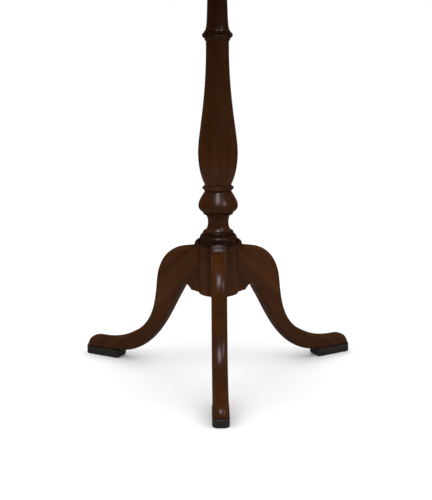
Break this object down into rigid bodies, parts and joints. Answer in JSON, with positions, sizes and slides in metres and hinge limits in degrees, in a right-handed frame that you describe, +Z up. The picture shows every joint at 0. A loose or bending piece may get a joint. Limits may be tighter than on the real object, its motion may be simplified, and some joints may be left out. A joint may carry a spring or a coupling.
{
  "type": "tilt top table",
  "caption": "Small round mahogany table on a turned pillar with cabriole legs; the top tips upright and latches level.",
  "frame": {"origin": "Centre of the base on the floor, under the pillar's axis.", "axes": "+Z up to the table surface. -Y towards the front leg and the tilting edge of the block. +X to the right, along the hinge."},
  "size_m": [0.5198, 0.52, 0.72],
  "materials": {
    "mahogany": "French polished",
    "underside_mahogany": "waxed",
    "ebonised_pad": "worn dark stain",
    "iron": "blackened wrought plate",
    "steel": "dull",
    "brass": "lacquered, lightly tarnished"
  },
  "bodies": {
    "base": {"pillar": "mahogany", "leg_front": "mahogany", "leg_right": "mahogany", "leg_left": "mahogany", "foot_pad_front": "ebonised_pad", "foot_pad_right": "ebonised_pad", "foot_pad_left": "ebonised_pad", "spider_plate": "iron", "spider_screws": "steel", "block": "underside_mahogany", "tenon_wedge": "underside_mahogany", "pivot_pin_left": "steel", "pivot_pin_right": "steel", "keeper_plate": "brass", "keeper_screws": "brass"},
    "top": {"top_board_front": "mahogany", "top_board_middle": "mahogany", "top_board_back": "mahogany", "bearer_left": "underside_mahogany", "bearer_right": "underside_mahogany", "bearer_screws": "steel", "catch_plate": "brass", "catch_case": "brass", "catch_screws": "brass", "catch_spring": "steel"},
    "catch_bolt": {"catch_bolt": "brass", "catch_knob": "brass"}
  },
  "joints": [
    {"name": "top_tilt", "type": "hinge", "parent": "base", "child": "top", "pos_m": [0, -0.044, 0.684], "axis": [1, 0, 0], "range_deg": [0, 90]},
    {"name": "bolt_slide", "type": "slide", "parent": "top", "child": "catch_bolt", "axis": [0, -1, 0], "range_m": [0, 0.009], "stiffness_N_per_m": 120, "springref_m": 0.02, "deforming": ["catch_spring"]}
  ]
}
